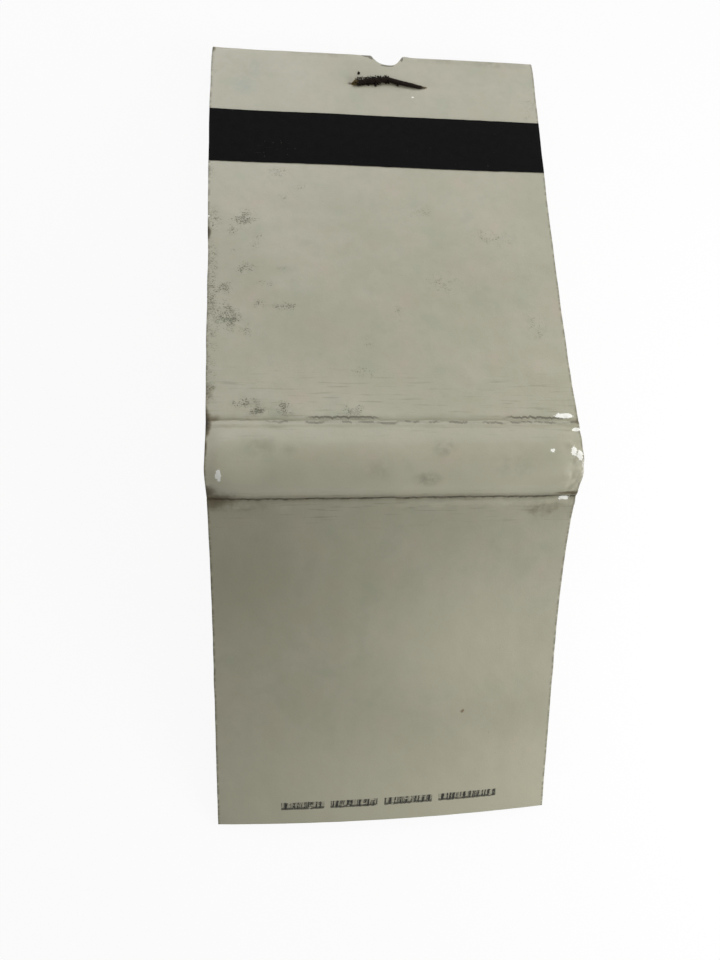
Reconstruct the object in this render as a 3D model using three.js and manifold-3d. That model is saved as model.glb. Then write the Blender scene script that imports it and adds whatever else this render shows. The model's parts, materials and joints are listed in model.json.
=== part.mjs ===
import * as THREE from 'three'
import { mergeVertices } from 'three/addons/utils/BufferGeometryUtils.js'
import Module from 'manifold-3d'

// Matchbook of folded card, opened out with its outside up. It stands as a low tent on its bottom
// fold and on the free edge of its front cover. Sizes are in millimetres: +X runs across the book,
// +Y towards the bottom fold and +Z up.

// Card of the cover
const bookWidth = 38
const cardThickness = 0.35
const backLength = 46.6
const saddleChord = 7.5
const saddleRearDeg = 27.5
const saddleRearPull = 2.5
const saddleFrontDeg = 52
const saddleFrontPull = 4.7
const frontLength = 39.15
const stubLength = 11
const foldRadius = 0.6
const frontCornerRadius = 0.6
const creaseGap = 0.04

// How the card lies at rest
const backSlopeDeg = 14.5
const saddleSlopeDeg = 7.5
const backSag = 0.4
const frontSag = 1.2
const frontArch = 0.8

// Friction band on the back
const strikerWidth = 7
const strikerFromFold = 8.9
const strikerThickness = 0.06
const strikerGap = 0.02

// Paper matches: each comb is one thick card, slit into stems
const matchCount = 10
const combThickness = 0.95
const combInset = 1
const combFoldGap = 0.35
const combBaseLength = 9.5
const slitWidth = 0.5
const matchLength = 42
const layerGap = 0.05

// Match heads
const headLength = 4.8
const headThickness = 1.9
const headSpacing = 0.12
const headGap = 0.1
const stemInHead = 3.7
const pocketGap = 0.04

// Wire staple through the stub, both combs and the back
const wireDiameter = 0.6
const stapleSpan = 8.9
const stapleCentreX = 1.5
const stapleFromFold = 4.2
const staplePeakX = 1.16
const staplePeakLift = 1.1
const stapleTipGap = 0.15
const stapleBendRadius = 0.5
const stapleHoleClearance = 0.14

// Piece bitten out of the bottom fold
const biteCentreX = 1.2
const biteWidth = 4.6
const biteDepth = 1.35

// Fineness of the round forms
const arcSteps = 5
const saddleSteps = 16
const beadSides = 12
const sagSteps = 10
const frontRows = 12
const frontColumns = 14
const holeSides = 16
const wireSides = 8
const wireSteps = 96
const headSides = 16

// Sizes that follow from those above
const backSlope = THREE.MathUtils.degToRad(backSlopeDeg)
const saddleSlope = THREE.MathUtils.degToRad(saddleSlopeDeg)
const halfCard = cardThickness / 2
const beadRadius = halfCard
const panelStart = beadRadius + creaseGap
const foldInnerLine = foldRadius - halfCard
const stubDepth = cardThickness + 2 * combThickness + 3 * layerGap
const stubEdge = backLength - stubLength
const strikerTop = backLength - strikerFromFold - strikerWidth
const combWidth = bookWidth - 2 * combInset
const matchPitch = combWidth / matchCount
const stemWidth = matchPitch - slitWidth
const combBottom = backLength - cardThickness - combFoldGap
const matchTip = combBottom - matchLength
const headMiddle = matchTip + headLength / 2
const headWidth = matchPitch - headSpacing
const wireRadius = wireDiameter / 2
const stapleLine = backLength - stapleFromFold

// Height of each crease above the table, and the slope that puts the front's free corners on it
const foldCentre = backLength - foldRadius
const foldCentreDepth = stubDepth + halfCard - foldRadius
const rearCreaseHeight =
  foldRadius + foldCentre * Math.sin(backSlope) + foldCentreDepth * Math.cos(backSlope)
const frontCreaseHeight = rearCreaseHeight - saddleChord * Math.sin(saddleSlope)
const frontReach = Math.hypot(frontLength, halfCard)
const frontSlope = Math.asin(frontCreaseHeight / frontReach) - Math.atan(halfCard / frontLength)

const wasm = await Module()
wasm.setup()

const finishes = {
  card: { color: 0xa8a693, roughness: 0.5, metalness: 0 },
  striker: { color: 0x171718, roughness: 0.9, metalness: 0 },
  matchCard: { color: 0xc9bfa6, roughness: 0.9, metalness: 0 },
  matchHead: { color: 0x8c3a2c, roughness: 0.85, metalness: 0 },
  rustedSteel: { color: 0x3d2a1e, roughness: 0.85, metalness: 0.3 },
}

function named(name, geometry, finish) {
  const mesh = new THREE.Mesh(geometry, new THREE.MeshStandardMaterial(finishes[finish]))
  mesh.name = name
  return mesh
}

// A closed mesh as a solid that can be cut, and back
function solidOf(geometry) {
  const bare = geometry.clone()
  bare.deleteAttribute('normal')
  bare.deleteAttribute('uv')
  const merged = mergeVertices(bare, 1e-5)
  return new wasm.Manifold(
    new wasm.Mesh({
      numProp: 3,
      vertProperties: Float32Array.from(merged.attributes.position.array),
      triVerts: Uint32Array.from(merged.index.array),
    }),
  )
}

function geometryOf(solid) {
  const mesh = solid.getMesh()
  const geometry = new THREE.BufferGeometry()
  geometry.setAttribute('position', new THREE.BufferAttribute(mesh.vertProperties, 3))
  geometry.setIndex(new THREE.BufferAttribute(mesh.triVerts, 1))
  geometry.computeVertexNormals()
  return geometry
}

// A side section, drawn as (distance along the book, height), run across the book
function acrossBook(section, width, centreX = 0) {
  const geometry = new THREE.ExtrudeGeometry(section, {
    depth: width,
    bevelEnabled: false,
    curveSegments: arcSteps,
  })
  const alongY = new THREE.Vector3(0, 1, 0)
  const alongZ = new THREE.Vector3(0, 0, 1)
  const alongX = new THREE.Vector3(1, 0, 0)
  geometry.applyMatrix4(new THREE.Matrix4().makeBasis(alongY, alongZ, alongX))
  geometry.translate(centreX - width / 2, 0, 0)
  return geometry
}

// The outline of a strip of even thickness that follows a centre line, mitred at its bends
function stripSection(centreLine, thickness) {
  const near = []
  const far = []
  centreLine.forEach((point, i) => {
    const before = centreLine[Math.max(i - 1, 0)]
    const after = centreLine[Math.min(i + 1, centreLine.length - 1)]
    const into = (i === 0 ? after.clone().sub(point) : point.clone().sub(before)).normalize()
    const out = i === centreLine.length - 1 ? into.clone() : after.clone().sub(point).normalize()
    const along = into.clone().add(out).normalize()
    const reach = thickness / 2 / along.dot(into)
    const normal = new THREE.Vector2(-along.y, along.x).multiplyScalar(reach)
    near.push(point.clone().add(normal))
    far.push(point.clone().sub(normal))
  })
  return new THREE.Shape([...near, ...far.reverse()])
}

// How far a panel hangs below the straight line between its ends: most at a third of the way
const sagShape = (share) => (share < 1 ? 6.75 * share * (1 - share) ** 2 : 0)

// Bottom fold, back panel and stub. Distances run from the rear crease towards the fold.
function backCoverGeometry() {
  const line = []
  for (let i = 0; i <= sagSteps; i += 1) {
    const along = THREE.MathUtils.lerp(panelStart, strikerTop, i / sagSteps)
    line.push(new THREE.Vector2(along, -backSag * sagShape(along / strikerTop)))
  }
  const wall = new THREE.Path()
  const cornerAlong = backLength - foldRadius
  wall.absarc(cornerAlong, -foldInnerLine, foldInnerLine, Math.PI / 2, 0, true)
  wall.absarc(cornerAlong, foldInnerLine - stubDepth, foldInnerLine, 0, -Math.PI / 2, true)
  wall.lineTo(stubEdge, -stubDepth)
  line.push(...wall.getPoints(arcSteps))
  const folded = solidOf(acrossBook(stripSection(line, cardThickness), bookWidth))
  return geometryOf(folded.subtract(bite).subtract(stapleHoles))
}

// The bite goes right through the fold, so it also takes the combs' bottom edges
function biteSolid() {
  const half = biteWidth / 2
  const lip = backLength + foldRadius
  const edge = [
    new THREE.Vector2(biteCentreX - half, backLength),
    new THREE.Vector2(biteCentreX - half * 0.45, backLength - biteDepth * 0.45),
    new THREE.Vector2(biteCentreX + half * 0.2, backLength - biteDepth),
    new THREE.Vector2(biteCentreX + half * 0.6, backLength - biteDepth * 0.6),
    new THREE.Vector2(biteCentreX + half, backLength),
  ]
  const outline = [
    new THREE.Vector2(biteCentreX - half, lip),
    ...new THREE.SplineCurve(edge).getPoints(2 * arcSteps),
    new THREE.Vector2(biteCentreX + half, lip),
  ]
  const depth = stubDepth + 2 * foldRadius
  const block = new THREE.ExtrudeGeometry(new THREE.Shape(outline), {
    depth,
    bevelEnabled: false,
  })
  block.translate(0, 0, (-stubDepth - depth) / 2)
  return solidOf(block)
}

function stapleHolesSolid() {
  const depth = stubDepth + 2 * foldRadius
  const holeRadius = wireRadius + stapleHoleClearance
  const holes = [-1, 1].map((side) => {
    const hole = new THREE.CylinderGeometry(holeRadius, holeRadius, depth, holeSides)
    hole.rotateX(Math.PI / 2)
    hole.translate(stapleCentreX + (side * stapleSpan) / 2, stapleLine, -stubDepth / 2)
    return solidOf(hole)
  })
  return holes[0].add(holes[1])
}

const bite = biteSolid()
const stapleHoles = stapleHolesSolid()

// Curved spine between the creases, fuller towards the front, with a round bead of card along each
// crease line. Distances run from the rear crease, as negative Y, towards the front crease.
function saddleGeometry() {
  const leave = THREE.MathUtils.degToRad(saddleRearDeg)
  const arrive = THREE.MathUtils.degToRad(saddleFrontDeg)
  const rear = new THREE.Vector2(0, 0)
  const front = new THREE.Vector2(-saddleChord, 0)
  const rearPull = new THREE.Vector2(-Math.cos(leave), Math.sin(leave)).multiplyScalar(saddleRearPull)
  const frontPull = new THREE.Vector2(Math.cos(arrive), Math.sin(arrive)).multiplyScalar(saddleFrontPull)
  const spine = new THREE.CubicBezierCurve(rear, rearPull, frontPull.add(front), front)
  const section = stripSection(spine.getPoints(saddleSteps), cardThickness)
  let strip = solidOf(acrossBook(section, bookWidth))
  for (const crease of [rear, front]) {
    const bead = new THREE.CylinderGeometry(beadRadius, beadRadius, bookWidth, beadSides)
    bead.rotateZ(Math.PI / 2)
    bead.translate(0, crease.x, crease.y)
    strip = strip.add(solidOf(bead))
  }
  return geometryOf(strip)
}

// A closed sheet of even thickness over a grid of places on its middle surface
function sheetGeometry(rows, columns, placeAt, thickness) {
  const positions = []
  const index = []
  const across = columns + 1
  const layer = (rows + 1) * across
  for (const lift of [thickness / 2, -thickness / 2]) {
    for (let i = 0; i <= rows; i += 1) {
      for (let j = 0; j <= columns; j += 1) {
        const place = placeAt(i / rows, j / columns)
        positions.push(place.x, place.y, place.z + lift)
      }
    }
  }
  for (let i = 0; i < rows; i += 1) {
    for (let j = 0; j < columns; j += 1) {
      const a = i * across + j
      const [b, c, d] = [a + 1, a + across + 1, a + across]
      index.push(a, d, c, a, c, b)
      index.push(a + layer, c + layer, d + layer, a + layer, b + layer, c + layer)
    }
  }
  const rim = []
  for (let i = 0; i < rows; i += 1) rim.push(i * across)
  for (let j = 0; j < columns; j += 1) rim.push(rows * across + j)
  for (let i = rows; i > 0; i -= 1) rim.push(i * across + columns)
  for (let j = columns; j > 0; j -= 1) rim.push(j)
  rim.forEach((p, k) => {
    const q = rim[(k + 1) % rim.length]
    index.push(p + layer, q + layer, q, p + layer, q, p)
  })
  const geometry = new THREE.BufferGeometry()
  geometry.setAttribute('position', new THREE.Float32BufferAttribute(positions, 3))
  geometry.setIndex(index)
  geometry.computeVertexNormals()
  return geometry
}

// Front panel: it sags a little behind the crease and arches across its free edge. Distances run
// from the front crease, as negative Y, towards the free edge.
function frontCoverGeometry() {
  const cornerStart = frontLength - frontCornerRadius
  const placeAt = (down, over) => {
    const along = THREE.MathUtils.lerp(panelStart, frontLength, Math.sin((down * Math.PI) / 2))
    const past = Math.max(along - cornerStart, 0)
    const cut = frontCornerRadius - Math.sqrt(Math.max(frontCornerRadius ** 2 - past ** 2, 0))
    const x = (over - 0.5) * (bookWidth - 2 * cut)
    const share = along / frontLength
    const arch = frontArch * share ** 1.5 * (1 - (2 * over - 1) ** 2)
    return new THREE.Vector3(x, -along, arch - frontSag * sagShape(share))
  }
  return sheetGeometry(frontRows, frontColumns, placeAt, cardThickness)
}

function strikerGeometry() {
  const strip = new THREE.BoxGeometry(bookWidth, strikerWidth, strikerThickness)
  const middle = strikerTop + strikerWidth / 2
  strip.translate(0, middle, halfCard + strikerGap + strikerThickness / 2)
  return strip
}

// Depths below the middle of the back's card, for the rear comb (layer 0) and the front (layer 1)
const combDepth = (layer) =>
  halfCard + layerGap + combThickness / 2 + layer * (combThickness + layerGap)
const headDepth = (layer) =>
  halfCard + backSag + headGap + headThickness / 2 + layer * (headThickness + headGap)
const combSplay = (layer) =>
  Math.atan((headDepth(layer) - combDepth(layer)) / (stubEdge - headMiddle))
const slitMiddle = (i) => (i - matchCount / 2) * matchPitch
const stemMiddle = (i) => slitMiddle(i) + matchPitch / 2

// One comb: held flat by the stub, then spread to make room for the heads, and slit from the tips.
// The outermost cuts trim the sides, so that all stems are alike.
function combGeometry(layer) {
  const depth = combDepth(layer)
  const stemEnd = matchTip + headLength - stemInHead
  const drop = (stubEdge - stemEnd) * Math.tan(combSplay(layer))
  const line = [
    new THREE.Vector2(combBottom, -depth),
    new THREE.Vector2(stubEdge, -depth),
    new THREE.Vector2(stemEnd, -depth - drop),
  ]
  let comb = solidOf(acrossBook(stripSection(line.reverse(), combThickness), combWidth))
  const slitLength = combBottom - combBaseLength - matchTip
  for (let i = 0; i <= matchCount; i += 1) {
    const slit = new THREE.BoxGeometry(slitWidth, slitLength, 4 * headDepth(1))
    slit.translate(slitMiddle(i), matchTip + slitLength / 2, -depth)
    comb = comb.subtract(solidOf(slit))
  }
  return geometryOf(comb.subtract(bite).subtract(stapleHoles))
}

// One head: a rounded block dipped over the stem's end, hollow where the stem goes in. It is made
// round its own middle, with the tip towards negative Y.
function headSolid() {
  const half = headLength / 2
  const outline = [
    new THREE.Vector2(0, half),
    new THREE.Vector2(0.95, half),
    new THREE.Vector2(1, half * 0.45),
    new THREE.Vector2(1, -half * 0.2),
    new THREE.Vector2(0.93, -half * 0.65),
    new THREE.Vector2(0.7, -half * 0.9),
    new THREE.Vector2(0, -half),
  ]
  const blob = new THREE.LatheGeometry(outline.reverse(), headSides)
  const position = blob.attributes.position
  const squared = (value) => Math.sign(value) * Math.abs(value) ** 0.4
  for (let i = 0; i < position.count; i += 1) {
    const radius = Math.hypot(position.getX(i), position.getZ(i))
    const x = radius > 0 ? radius * squared(position.getX(i) / radius) : 0
    const z = radius > 0 ? radius * squared(position.getZ(i) / radius) : 0
    position.setXYZ(i, (x * headWidth) / 2, position.getY(i), (z * headThickness) / 2)
  }
  const pocketLength = 2 * stemInHead
  const pocket = new THREE.BoxGeometry(
    stemWidth + 2 * pocketGap,
    pocketLength,
    combThickness + 2 * pocketGap,
  )
  pocket.translate(0, half - stemInHead - pocketGap + pocketLength / 2, 0)
  return solidOf(blob).subtract(solidOf(pocket))
}

function headMesh(name, geometry, layer, i) {
  const head = named(name, geometry, 'matchHead')
  head.position.set(stemMiddle(i), headMiddle, -headDepth(layer))
  head.rotation.x = combSplay(layer)
  return head
}

// One wire: crown under the stub, legs up through the holes, ends clinched to a shallow peak
function stapleGeometry() {
  const top = halfCard + layerGap + wireRadius
  const bottom = -stubDepth - top
  const left = stapleCentreX - stapleSpan / 2
  const right = stapleCentreX + stapleSpan / 2
  const peakLine = stapleLine + staplePeakLift
  const corners = [
    new THREE.Vector3(staplePeakX - stapleTipGap / 2, peakLine, top),
    new THREE.Vector3(left, stapleLine, top),
    new THREE.Vector3(left, stapleLine, bottom),
    new THREE.Vector3(right, stapleLine, bottom),
    new THREE.Vector3(right, stapleLine, top),
    new THREE.Vector3(staplePeakX + stapleTipGap / 2, peakLine, top),
  ]
  const wire = new THREE.CurvePath()
  let from = corners[0]
  for (let i = 1; i < corners.length - 1; i += 1) {
    const back = corners[i - 1].clone().sub(corners[i]).setLength(stapleBendRadius)
    const on = corners[i + 1].clone().sub(corners[i]).setLength(stapleBendRadius)
    const start = corners[i].clone().add(back)
    const end = corners[i].clone().add(on)
    wire.add(new THREE.LineCurve3(from, start))
    wire.add(new THREE.QuadraticBezierCurve3(start, corners[i], end))
    from = end
  }
  wire.add(new THREE.LineCurve3(from, corners[corners.length - 1]))
  const section = new THREE.Shape()
  section.absarc(0, 0, wireRadius, 0, 2 * Math.PI, false)
  return new THREE.ExtrudeGeometry(section, {
    steps: wireSteps,
    curveSegments: wireSides,
    extrudePath: wire,
    bevelEnabled: false,
  })
}

// The back's group starts at the rear crease, the front's at the front crease
const back = new THREE.Group()
back.add(named('back_cover', backCoverGeometry(), 'card'))
back.add(named('striker_strip', strikerGeometry(), 'striker'))
back.add(named('rear_comb', combGeometry(0), 'matchCard'))
back.add(named('front_comb', combGeometry(1), 'matchCard'))
const headGeometry = geometryOf(headSolid())
for (let i = 0; i < matchCount; i += 1) {
  back.add(headMesh(`rear_head_${i + 1}`, headGeometry, 0, i))
  back.add(headMesh(`front_head_${i + 1}`, headGeometry, 1, i))
}
back.add(named('staple', stapleGeometry(), 'rustedSteel'))
back.rotation.x = -backSlope

const saddle = new THREE.Group()
saddle.add(named('saddle', saddleGeometry(), 'card'))
saddle.rotation.x = saddleSlope

const front = new THREE.Group()
front.add(named('front_cover', frontCoverGeometry(), 'card'))
front.position.set(
  0,
  -saddleChord * Math.cos(saddleSlope),
  -saddleChord * Math.sin(saddleSlope),
)
front.rotation.x = frontSlope

// Standing on the table, centred over the origin
const matchbook = new THREE.Group()
matchbook.add(back, saddle, front)
matchbook.updateMatrixWorld(true)
const extent = new THREE.Box3().setFromObject(matchbook, true)
const middle = extent.getCenter(new THREE.Vector3())
matchbook.position.set(-middle.x, -middle.y, -extent.min.z)

export default matchbook
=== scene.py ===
"""Looks of a folded-card matchbook that stands open as a low tent, with its outside up."""

import json
import math
import random
from types import SimpleNamespace

import bmesh
import bpy
import numpy as np
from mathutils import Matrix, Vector, noise


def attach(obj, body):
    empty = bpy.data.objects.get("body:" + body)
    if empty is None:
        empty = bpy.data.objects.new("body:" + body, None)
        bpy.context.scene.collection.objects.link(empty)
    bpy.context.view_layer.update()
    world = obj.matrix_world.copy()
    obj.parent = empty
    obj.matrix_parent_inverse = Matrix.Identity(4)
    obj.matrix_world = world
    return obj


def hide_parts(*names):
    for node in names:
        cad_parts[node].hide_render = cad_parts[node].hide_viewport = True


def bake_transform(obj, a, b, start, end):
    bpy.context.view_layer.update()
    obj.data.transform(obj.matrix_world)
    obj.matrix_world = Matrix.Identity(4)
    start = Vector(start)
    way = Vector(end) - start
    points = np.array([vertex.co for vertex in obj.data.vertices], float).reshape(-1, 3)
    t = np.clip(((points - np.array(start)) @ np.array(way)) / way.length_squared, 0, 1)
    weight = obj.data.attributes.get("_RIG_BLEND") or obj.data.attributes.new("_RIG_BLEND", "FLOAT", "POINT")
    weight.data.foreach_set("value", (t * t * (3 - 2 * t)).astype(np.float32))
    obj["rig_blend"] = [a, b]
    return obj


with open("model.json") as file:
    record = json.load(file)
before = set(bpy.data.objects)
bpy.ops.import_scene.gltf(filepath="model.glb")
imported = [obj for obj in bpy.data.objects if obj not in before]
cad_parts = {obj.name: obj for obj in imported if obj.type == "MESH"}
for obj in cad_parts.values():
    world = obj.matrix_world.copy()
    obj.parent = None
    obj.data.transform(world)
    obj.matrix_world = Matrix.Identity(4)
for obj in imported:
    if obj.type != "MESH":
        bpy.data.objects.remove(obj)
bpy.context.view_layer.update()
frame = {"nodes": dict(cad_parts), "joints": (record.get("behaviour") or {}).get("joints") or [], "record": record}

MM = 0.001

# Card of the cover, in millimetres
CARD = 0.35
BOOK_WIDTH = 38.0
HALF_WIDTH = BOOK_WIDTH / 2
BACK_LENGTH = 46.9
FRONT_LENGTH = 39.15
STUB_LENGTH = 11.0
STUB_DEPTH = 2.32
FOLD_RADIUS = 0.425
BACK_SAG = 0.4
FRONT_SAG = 1.2
FRONT_ARCH = 0.8
SPINE_LEAVES_DEG = 27.5
SPINE_REAR_PULL = 2.5
SPINE_ARRIVES_DEG = 52.0
SPINE_FRONT_PULL = 4.7
CARD_EDGE_ROUND = 0.05

# Striker band: its edges' distances from the rear crease, and how it lies on the card
STRIKER_TOP = 30.7
STRIKER_BOTTOM = 37.7
STRIKER_INSET = 0.03
STRIKER_LIFT = 0.02
STRIKER_THICKNESS = 0.05

# Staple and the bite in the bottom fold, as places (across, along) on the back
STAPLE_LEFT = (-2.95, 42.4)
STAPLE_RIGHT = (5.95, 42.4)
STAPLE_PEAK = (1.16, 43.45)
BITE_OUTLINE = (
    (-0.68, 47.6), (-0.55, 46.75), (-0.33, 46.27), (-0.05, 45.93), (0.2, 45.65),
    (0.55, 45.43), (1.0, 45.28), (1.45, 45.2), (1.95, 45.22), (2.35, 45.36),
    (2.62, 45.6), (2.88, 45.95), (3.18, 46.4), (3.42, 46.8), (3.6, 47.6),
)
BITE_OVERREACH = 1.5

# Matches in each of the two combs
MATCHES = 10

# The front crease's crack lies this far past the crease itself
FRONT_CRACK = 0.22

# Width of card that bends at each crease, on either side of it
CREASE_REACH = 0.55

joints = {joint["name"]: joint for joint in frame["joints"]}
mounts = {mount["name"]: mount for mount in frame["record"]["mounts"]}
rear_crease = Vector(joints["rear_crease"]["pos_m"]) / MM
front_crease = Vector(joints["front_crease"]["pos_m"]) / MM
back_slope = math.asin(-mounts["fold_end"]["axis"][2])
spine_drop = rear_crease - front_crease
spine_chord = spine_drop.length
spine_slope = math.atan2(spine_drop.z, spine_drop.y)
front_reach = math.hypot(FRONT_LENGTH, CARD / 2)
front_slope = math.asin(front_crease.z / front_reach) - math.atan(CARD / 2 / FRONT_LENGTH)


def sag(share):
    """How far a panel hangs below the line between its ends: 1 at a third of the way, 0 at the ends."""
    share = np.clip(share, 0, 1)
    return 27 / 4 * share * (1 - share) ** 2


def panel_points(origin, slope, along, lift):
    """Side-view places (y, z) on a panel that starts at a crease and falls towards +Y."""
    y = origin.y + along * math.cos(slope) + lift * math.sin(slope)
    z = origin.z - along * math.sin(slope) + lift * math.cos(slope)
    return np.stack([y, z], 1)


def arc(centre, radius, first_deg, last_deg, count=12):
    """Places on an arc of the fold, seen from the side."""
    turn = np.radians(np.linspace(first_deg, last_deg, count))
    return centre[0] + radius * np.cos(turn), centre[1] + radius * np.sin(turn)


# Points on the side path before it is evened out
PANEL_POINTS = 160
SPINE_POINTS = 80


def side_path():
    """The folded card's middle line from the stub's edge to the front's free edge."""
    corner = BACK_LENGTH - CARD / 2 - FOLD_RADIUS
    stub = (np.array([BACK_LENGTH - STUB_LENGTH]), np.array([-STUB_DEPTH]))
    lower = arc((corner, FOLD_RADIUS - STUB_DEPTH), FOLD_RADIUS, -90, 0)
    upper = arc((corner, -FOLD_RADIUS), FOLD_RADIUS, 0, 90)
    along = np.linspace(corner - 0.1, 0.1, PANEL_POINTS)
    back = (along, -BACK_SAG * sag(along / STRIKER_TOP))
    along, lift = (np.concatenate(pair) for pair in zip(stub, lower, upper, back))
    back_part = panel_points(rear_crease, back_slope, along, lift)

    leave, arrive = math.radians(SPINE_LEAVES_DEG), math.radians(SPINE_ARRIVES_DEG)
    controls = np.array([
        (0, 0),
        (-SPINE_REAR_PULL * math.cos(leave), SPINE_REAR_PULL * math.sin(leave)),
        (-spine_chord + SPINE_FRONT_PULL * math.cos(arrive), SPINE_FRONT_PULL * math.sin(arrive)),
        (-spine_chord, 0),
    ])
    share = np.linspace(0, 1, SPINE_POINTS)[:, None]
    weights = ((1 - share) ** 3, 3 * share * (1 - share) ** 2, 3 * share**2 * (1 - share), share**3)
    curve = sum(weight * control for weight, control in zip(weights, controls))
    spine_part = panel_points(rear_crease, -spine_slope, curve[:, 0], curve[:, 1])

    along = np.linspace(0.05, FRONT_LENGTH, PANEL_POINTS)
    lift = -FRONT_SAG * sag(along / FRONT_LENGTH)
    front_part = panel_points(front_crease, -front_slope, -along, lift)
    return np.concatenate([back_part, spine_part, front_part]), len(back_part), len(spine_part)


# Spacing of the points on the side path, and how far its bends are softened
STEP = 0.02
SOFTENING = 0.11


def even_path():
    """The side path at even steps, with its bends softened: distances, places and outward normals."""
    points, back_count, spine_count = side_path()
    lengths = np.concatenate([[0], np.cumsum(np.hypot(*np.diff(points, axis=0).T))])
    rear_at, front_at = lengths[back_count], lengths[back_count + spine_count - 1]
    even = np.arange(0, lengths[-1], STEP)
    y, z = (np.interp(even, lengths, points[:, k]) for k in (0, 1))
    reach = int(4 * SOFTENING / STEP)
    kernel = np.exp(-0.5 * (np.arange(-reach, reach + 1) * STEP / SOFTENING) ** 2)
    kernel /= kernel.sum()

    def soften(values):
        before = 2 * values[0] - values[reach:0:-1]
        after = 2 * values[-1] - values[-2:-reach - 2:-1]
        return np.convolve(np.concatenate([before, values, after]), kernel, mode="valid")

    y, z = soften(y), soften(z)
    ty, tz = np.gradient(y), np.gradient(z)
    size = np.hypot(ty, tz)
    return rear_at - even, y, z, tz / size, -ty / size, front_at - rear_at


path_along, path_y, path_z, path_ny, path_nz, SPINE_ARC = even_path()
STUB_EDGE = path_along[0]
FREE_EDGE = path_along[-1]
FOLD_END = BACK_LENGTH - CARD / 2
SPINE_SEAM = -SPINE_ARC / 2


def noise_over(x, along, scale, seed):
    """Smooth noise from -1 to 1 over the sheet."""
    flat = zip(np.ravel(x * scale), np.ravel(along * scale))
    values = [noise.noise(Vector((a, b, seed))) for a, b in flat]
    return np.array(values).reshape(np.shape(x))


def hump(distance, reach):
    """1 at no distance, falling smoothly to almost 0 at twice the reach."""
    return np.exp(-((distance / reach) ** 2))


def crease_relief(x, along, past_front):
    """The creases' valleys, and the low ridges that the folding raised beside them."""
    ripple = noise_over(x, 0 * x, 0.45, 4.0)
    fine = noise_over(x, 0 * x, 1.7, 9.0)
    height = -(0.05 + 0.03 * ripple) * hump(along - 0.12 * ripple - 0.05 * fine, 0.13)
    height += 0.03 * hump(along + 0.45 - 0.1 * fine, 0.25) * (1 + ripple)
    height -= 0.07 * hump(past_front - FRONT_CRACK - 0.1 * fine, 0.12)
    height += (0.06 + 0.05 * ripple) * hump(past_front - 0.95 - 0.25 * ripple, 0.35)
    return height


def spine_end_relief(x, along, past_front):
    """The spine's dented left end and crumpled right end."""
    height = -0.3 * hump(x + HALF_WIDTH, 1.7) * hump(along + SPINE_ARC - 1.0, 2.0)
    height -= 0.22 * hump(x + HALF_WIDTH, 0.9) * hump(along + SPINE_ARC * 0.4, 3.0)
    right = hump(x - HALF_WIDTH, 1.6)
    crumple = noise_over(x, along, 0.9, 17.0) + 0.5 * noise_over(x, along, 2.1, 23.0)
    height += 0.16 * right * crumple * hump(along + SPINE_ARC / 2, SPINE_ARC * 0.6)
    in_spine = np.clip(np.minimum(-along, -past_front), 0, 1)
    return height - 0.15 * right * in_spine


def relief(x, along):
    """How far the card's surface stands off its folded middle line, in millimetres."""
    past_front = -along - SPINE_ARC
    share = np.clip(past_front / FRONT_LENGTH, 0, 1)
    height = FRONT_ARCH * share**1.5 * (1 - (x / HALF_WIDTH) ** 2)
    height += crease_relief(x, along, past_front) + spine_end_relief(x, along, past_front)
    for leg in (STAPLE_LEFT, STAPLE_RIGHT):
        height -= 0.1 * hump(np.hypot(x - leg[0], along - leg[1]), 1.1)
    height += 0.07 * hump(np.hypot(x - BITE_OUTLINE[-1][0], along - FOLD_END), 0.5)
    height += 0.09 * noise_over(x, along, 0.11, 2.0) * (1 - share)
    height += 0.02 * noise_over(x, along, 0.5, 6.0)
    return height


# How far the left and right sides stand out beyond true, against the distance along the sheet
LEFT_SIDE = (
    (-12.0, -8.6, -5.0, -1.5, 4.4, 8.5, 16.0, 19.5, 23.0, 30.0, 37.0, 41.0, 46.0),
    (0.0, 0.03, 0.08, -0.04, 0.07, 0.13, 0.11, 0.09, 0.18, 0.23, 0.25, 0.19, 0.12),
)
RIGHT_SIDE = (
    (-48.0, -44.0, -12.0, -8.6, -5.0, -1.5, 4.4, 8.5, 16.0, 27.0, 34.0, 37.0, 41.0, 46.0),
    (0.14, 0.04, 0.02, 0.12, 0.06, 0.16, 0.07, 0.09, 0.02, -0.06, 0.03, 0.12, 0.23, 0.34),
)


def uneven_sides(x, along):
    """Across places with the cover's sides a little out of true, as they are in the old card."""
    out_of_true = np.where(x < 0, np.interp(along, *LEFT_SIDE), np.interp(along, *RIGHT_SIDE))
    wander = 0.05 * noise_over(0 * x, along, 0.35, 31.0) * (x / HALF_WIDTH) ** 9
    crushed = 0.12 * hump(along - FOLD_END, 1.1) * np.sign(x) * hump(np.abs(x) - HALF_WIDTH, 0.5)
    return x * (1 + out_of_true / HALF_WIDTH) + wander - crushed


def sheet_places(x, along, lift=0.0):
    """Places in metres for points of the flat sheet once it is folded."""
    height = relief(x, along) + lift
    order = slice(None, None, -1)
    y, z, ny, nz = (
        np.interp(along, path_along[order], values[order])
        for values in (path_y, path_z, path_ny, path_nz)
    )
    return np.stack([uneven_sides(x, along), y + ny * height, z + nz * height], -1) * MM


def spaced(stops):
    """Distances from the first stop to the last, evenly spaced between stops: (place, spacing)."""
    places = []
    for (start, spacing), (end, _) in zip(stops, stops[1:]):
        count = max(int(round(abs(end - start) / spacing)), 1)
        places.extend(np.linspace(start, end, count, endpoint=False))
    return np.array(places + [stops[-1][0]])


# Columns of points across the cover, closer near its sides
COLUMNS = spaced([
    (-HALF_WIDTH, 0.16), (-HALF_WIDTH + 2.4, 0.25), (HALF_WIDTH - 2.4, 0.16), (HALF_WIDTH, 0),
])

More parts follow.
